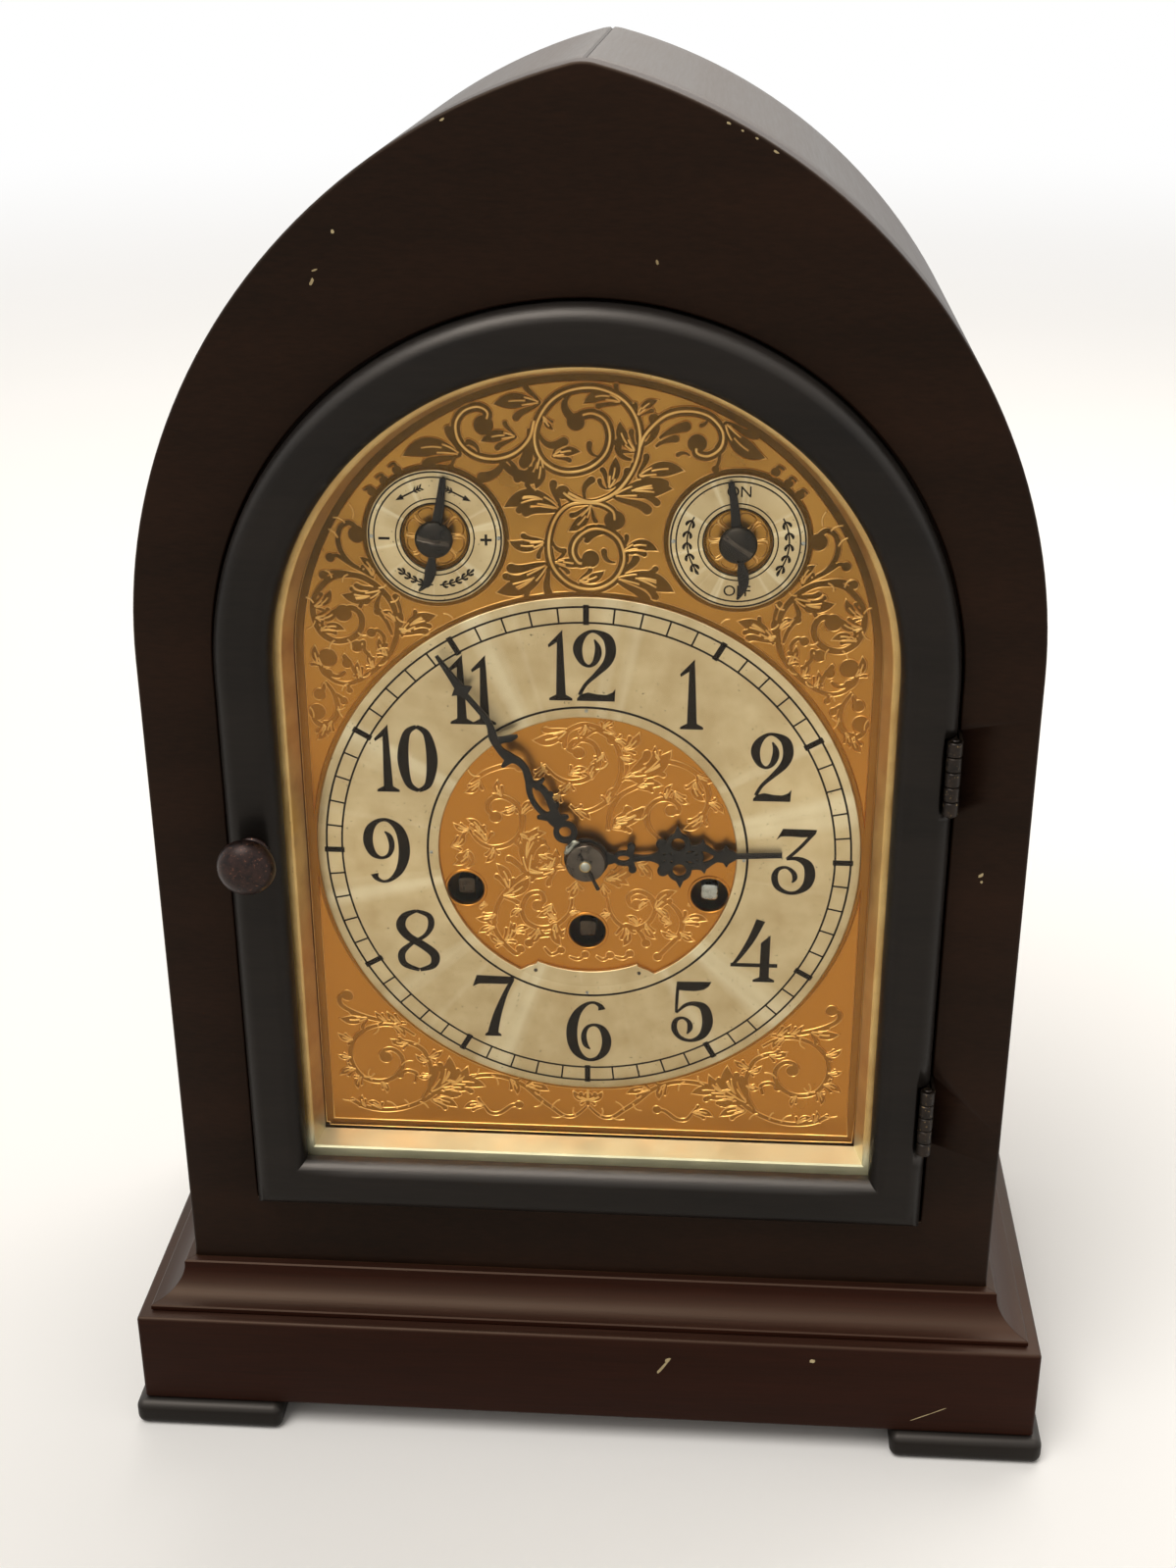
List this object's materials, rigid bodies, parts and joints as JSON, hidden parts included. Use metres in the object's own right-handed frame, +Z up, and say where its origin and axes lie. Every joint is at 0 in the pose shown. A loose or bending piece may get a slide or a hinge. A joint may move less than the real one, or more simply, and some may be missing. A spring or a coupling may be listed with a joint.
{
  "type": "mantel clock",
  "caption": "Free-standing chiming mantel clock: pointed-arch wooden case, round-topped glazed door, brass dial with two setting rings, pierced hands and a pendulum movement.",
  "frame": {"origin": "centre of the footprint, on the shelf plane under the feet", "axes": "+X to the viewer's right when facing the dial, +Y into the depth (the dial faces -Y), +Z up"},
  "size_m": [0.259, 0.1466, 0.3717],
  "materials": {
    "mahogany": "dark stained mahogany, satin lacquer",
    "ebonised": "near-black stained wood, satin lacquer",
    "pine": "plain softwood, unfinished",
    "glass": "clear",
    "gilt": "gilt and etched",
    "silvered": "silvered",
    "brass": "polished and lacquered",
    "bronze": "dark bronzed",
    "blued": "blackened",
    "steel": "bright",
    "iron": "grey painted block with bright rods"
  },
  "bodies": {
    "case": {"foot_front_left": "ebonised", "foot_front_right": "ebonised", "foot_back_left": "ebonised", "foot_back_right": "ebonised", "base_plinth": "mahogany", "base_moulding_front": "mahogany", "base_moulding_left": "mahogany", "base_moulding_right": "mahogany", "base_board": "pine", "front_panel": "mahogany", "left_shell": "mahogany", "right_shell": "mahogany", "seat_board": "pine", "upper_hinge_case_leaf": "bronze", "lower_hinge_case_leaf": "bronze", "back_upper_hinge_case_leaf": "brass", "back_lower_hinge_case_leaf": "brass", "dial_plate": "gilt", "chapter_ring": "silvered", "regulator_ring": "silvered", "silence_ring": "silvered", "front_plate": "brass", "back_plate": "brass", "suspension_cock": "brass", "chime_rods": "iron"},
    "front_door": {"door_frame": "ebonised", "door_glass": "glass", "sight_frame": "brass", "door_knob": "bronze", "upper_hinge_door_leaf": "bronze", "lower_hinge_door_leaf": "bronze"},
    "rear_door": {"back_door": "pine", "back_upper_hinge_door_leaf": "brass", "back_lower_hinge_door_leaf": "brass"},
    "turn_button": {"back_turn_button": "brass"},
    "minute_group": {"minute_hand": "blued", "hand_collet": "blued", "taper_pin": "steel", "cannon_pinion": "steel", "centre_wheel": "brass"},
    "hour_group": {"hour_hand": "blued", "hour_wheel": "brass"},
    "minute_wheel": {"minute_wheel": "brass"},
    "third_wheel": {"third_wheel": "brass"},
    "escape_wheel": {"escape_wheel": "brass"},
    "time_barrel": {"time_barrel": "brass"},
    "strike_barrel": {"strike_barrel": "brass"},
    "chime_barrel": {"chime_barrel": "brass"},
    "time_winding_arbor": {"time_winding_arbor": "steel"},
    "strike_winding_arbor": {"strike_winding_arbor": "steel"},
    "chime_winding_arbor": {"chime_winding_arbor": "steel"},
    "regulator_pointer": {"regulator_pointer": "blued"},
    "silence_pointer": {"silence_pointer": "blued"},
    "pendulum": {"pendulum_rod": "brass", "pendulum_bob": "brass", "pallet_anchor": "steel"},
    "chime_hammer_1": {"chime_hammer_1": "brass"},
    "chime_hammer_2": {"chime_hammer_2": "brass"},
    "chime_hammer_3": {"chime_hammer_3": "brass"},
    "chime_hammer_4": {"chime_hammer_4": "brass"}
  },
  "joints": [
    {"name": "front_door_hinge", "type": "hinge", "parent": "case", "child": "front_door", "pos_m": [0.0911, -0.0607, 0.156], "axis": [0, 0, 1], "range_deg": [0, 120]},
    {"name": "rear_door_hinge", "type": "hinge", "parent": "case", "child": "rear_door", "pos_m": [0.1041, 0.0698, 0.1405], "axis": [0, 0, -1], "range_deg": [0, 110]},
    {"name": "turn_button_pivot", "type": "hinge", "parent": "case", "child": "turn_button", "pos_m": [-0.1085, 0.0679, 0.158], "axis": [0, 1, 0], "range_deg": [0, 90]},
    {"name": "minute_turn", "type": "hinge", "parent": "case", "child": "minute_group", "pos_m": [0, -0.0443, 0.175], "axis": [0, 1, 0], "continuous": true},
    {"name": "hour_turn", "type": "hinge", "parent": "case", "child": "hour_group", "pos_m": [0, -0.0443, 0.175], "axis": [0, 1, 0], "continuous": true},
    {"name": "minute_wheel_turn", "type": "hinge", "parent": "case", "child": "minute_wheel", "pos_m": [0.01131, -0.0443, 0.18631], "axis": [0, 1, 0], "continuous": true},
    {"name": "third_wheel_turn", "type": "hinge", "parent": "case", "child": "third_wheel", "pos_m": [-0.0135, -0.0443, 0.19109], "axis": [0, 1, 0], "continuous": true},
    {"name": "escape_wheel_turn", "type": "hinge", "parent": "case", "child": "escape_wheel", "pos_m": [0, -0.0443, 0.20109], "axis": [0, 1, 0], "continuous": true},
    {"name": "time_barrel_turn", "type": "hinge", "parent": "case", "child": "time_barrel", "pos_m": [0, -0.0443, 0.1522], "axis": [0, 1, 0], "continuous": true},
    {"name": "strike_barrel_turn", "type": "hinge", "parent": "case", "child": "strike_barrel", "pos_m": [-0.03225, -0.0443, 0.164], "axis": [0, 1, 0], "continuous": true},
    {"name": "chime_barrel_turn", "type": "hinge", "parent": "case", "child": "chime_barrel", "pos_m": [0.03225, -0.0443, 0.164], "axis": [0, 1, 0], "continuous": true},
    {"name": "time_winding", "type": "hinge", "parent": "case", "child": "time_winding_arbor", "pos_m": [0, -0.0443, 0.1522], "axis": [0, 1, 0], "continuous": true},
    {"name": "strike_winding", "type": "hinge", "parent": "case", "child": "strike_winding_arbor", "pos_m": [-0.03225, -0.0443, 0.164], "axis": [0, 1, 0], "continuous": true},
    {"name": "chime_winding", "type": "hinge", "parent": "case", "child": "chime_winding_arbor", "pos_m": [0.03225, -0.0443, 0.164], "axis": [0, 1, 0], "continuous": true},
    {"name": "regulator_setting", "type": "hinge", "parent": "case", "child": "regulator_pointer", "pos_m": [-0.0371, -0.0443, 0.261], "axis": [0, 1, 0], "range_deg": [-50, 30]},
    {"name": "silence_setting", "type": "hinge", "parent": "case", "child": "silence_pointer", "pos_m": [0.0371, -0.0443, 0.261], "axis": [0, 1, 0], "range_deg": [0, 180]},
    {"name": "pendulum_swing", "type": "hinge", "parent": "case", "child": "pendulum", "pos_m": [0, -0.0443, 0.21709], "axis": [0, 1, 0], "range_deg": [-4, 4]},
    {"name": "chime_hammer_1_lift", "type": "hinge", "parent": "case", "child": "chime_hammer_1", "pos_m": [0.044, 0.0243, 0.15], "axis": [0, -1, 0], "range_deg": [0, 14]},
    {"name": "chime_hammer_2_lift", "type": "hinge", "parent": "case", "child": "chime_hammer_2", "pos_m": [0.044, 0.0323, 0.15], "axis": [0, -1, 0], "range_deg": [0, 14]},
    {"name": "chime_hammer_3_lift", "type": "hinge", "parent": "case", "child": "chime_hammer_3", "pos_m": [0.044, 0.0403, 0.15], "axis": [0, -1, 0], "range_deg": [0, 14]},
    {"name": "chime_hammer_4_lift", "type": "hinge", "parent": "case", "child": "chime_hammer_4", "pos_m": [0.044, 0.0483, 0.15], "axis": [0, -1, 0], "range_deg": [0, 14]}
  ],
  "couplings": [
    {"joint": "hour_turn", "follows": "minute_turn", "ratio": 0.083333},
    {"joint": "minute_wheel_turn", "follows": "minute_turn", "ratio": -0.33333},
    {"joint": "time_barrel_turn", "follows": "minute_turn", "ratio": -0.16667},
    {"joint": "third_wheel_turn", "follows": "minute_turn", "ratio": -6},
    {"joint": "escape_wheel_turn", "follows": "minute_turn", "ratio": 36}
  ]
}
